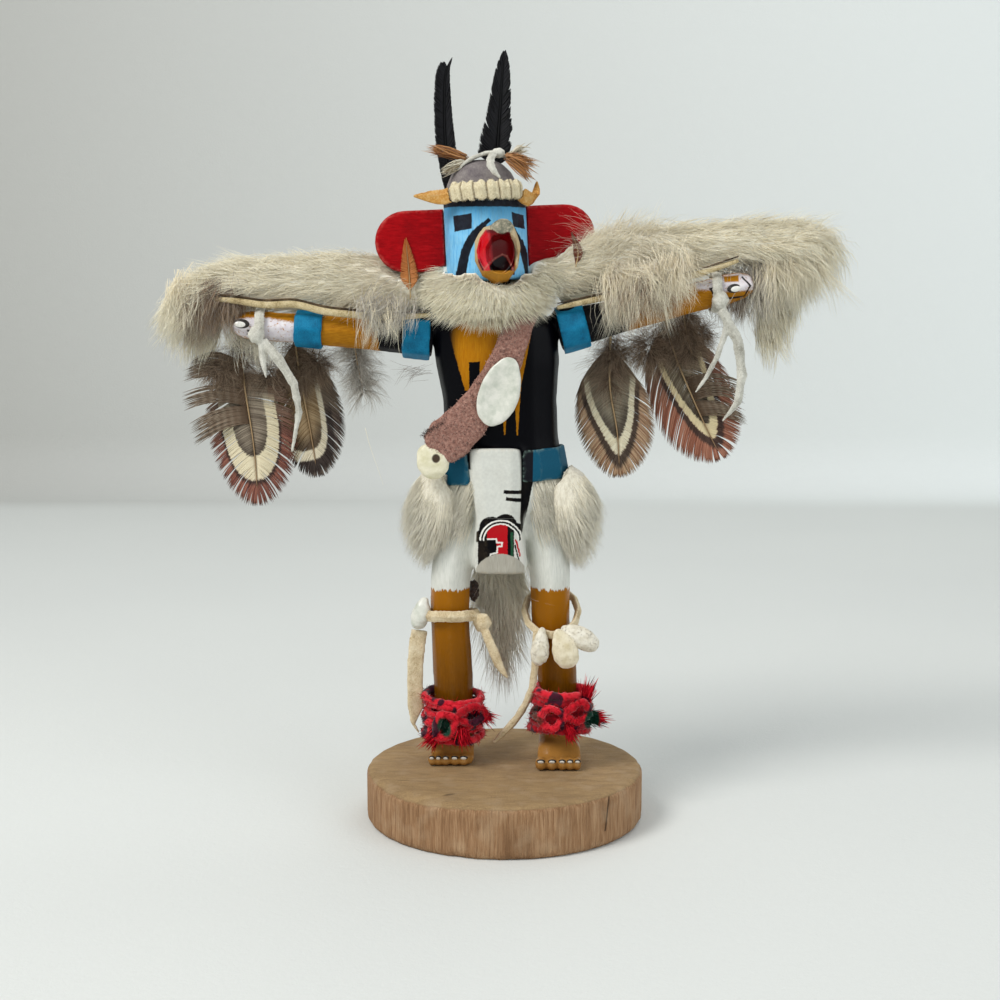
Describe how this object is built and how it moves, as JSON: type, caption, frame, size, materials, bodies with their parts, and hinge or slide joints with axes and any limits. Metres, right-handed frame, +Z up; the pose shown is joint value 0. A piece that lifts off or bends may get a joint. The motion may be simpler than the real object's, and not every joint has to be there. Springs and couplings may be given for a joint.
{
  "type": "kachina doll",
  "caption": "Standing carved and painted kachina doll with outstretched fur wings, hanging feathers and a masked head, on a round wooden slab.",
  "frame": {"origin": "centre of the round slab's flat underside", "axes": "+Z up, the figure faces -Y, its own left arm reaches along +X"},
  "size_m": [0.223, 0.092, 0.2505],
  "materials": {
    "slab_wood": "sanded cottonwood, sandy olive-brown top and streaked pinkish-tan edge, unvarnished",
    "body_paint": "carved wood under brushed paint: black torso, ochre skin, white thighs and sash, satin",
    "arm_paint": "carved wood under ochre, black and white paint, satin",
    "mask_paint": "carved wood under light blue and grey paint, brushed, satin",
    "beak_paint": "carved wood under ochre, red and grey paint, satin",
    "tablet_paint": "thin wood under deep red gloss paint",
    "blue_leather": "leather strip painted turquoise blue, matt",
    "pink_suede": "pink suede with dark speckle, napped",
    "pale_thong": "pale tan leather thong, matt",
    "cream_fur": "rabbit fur on the hide, cream with brown underfur",
    "white_fur": "white-grey rabbit fur on the hide",
    "shell": "sea shell, off-white, pearly to chalky",
    "bone_wrap": "cream wrapped cord, napped",
    "husk": "dried golden husk and orange-brown feather",
    "black_feather": "black crow-like feather, slight sheen",
    "pheasant_feather": "pheasant feather, brown with cream bands and rufous tip",
    "yarn": "fuzzy wool yarn, red with maroon and green",
    "dark_bead": "dark brown rough bead"
  },
  "bodies": {
    "root": {"base_slab": "slab_wood", "body": "body_paint", "head": "mask_paint", "beak": "beak_paint", "brow_band": "bone_wrap", "crown_thong": "pale_thong", "neck_ruff": "cream_fur", "chest_strap": "pink_suede", "belt": "blue_leather", "shell_large": "shell", "shell_small": "shell", "tail_fur": "white_fur", "tail_bead": "dark_bead", "wrist_band_right": "blue_leather", "arm_right": "arm_paint", "ear_tablet_right": "tablet_paint", "brow_leaf_right": "husk", "crown_feather_right": "black_feather", "crown_tuft_right": "husk", "wing_pelt_right": "cream_fur", "ear_feather_right": "husk", "shoulder_band_right": "blue_leather", "hand_thong_right": "pale_thong", "hip_fur_right": "white_fur", "wing_feather_right_1": "pheasant_feather", "wing_feather_right_2": "pheasant_feather", "wing_feather_right_3": "pheasant_feather", "ankle_yarn_right": "yarn", "arm_left": "arm_paint", "ear_tablet_left": "tablet_paint", "brow_leaf_left": "husk", "crown_feather_left": "black_feather", "crown_tuft_left": "husk", "wing_pelt_left": "cream_fur", "ear_feather_left": "husk", "shoulder_band_left": "blue_leather", "hand_thong_left": "pale_thong", "hip_fur_left": "white_fur", "wing_feather_left_1": "pheasant_feather", "wing_feather_left_2": "pheasant_feather", "wing_feather_left_3": "pheasant_feather", "ankle_yarn_left": "yarn", "garter_thong_right": "pale_thong", "garter_shell_right": "shell", "garter_strap_right": "pale_thong", "garter_thong_left": "pale_thong", "garter_shell_left_1": "shell", "garter_shell_left_2": "shell", "garter_shell_left_3": "shell"}
  },
  "joints": []
}
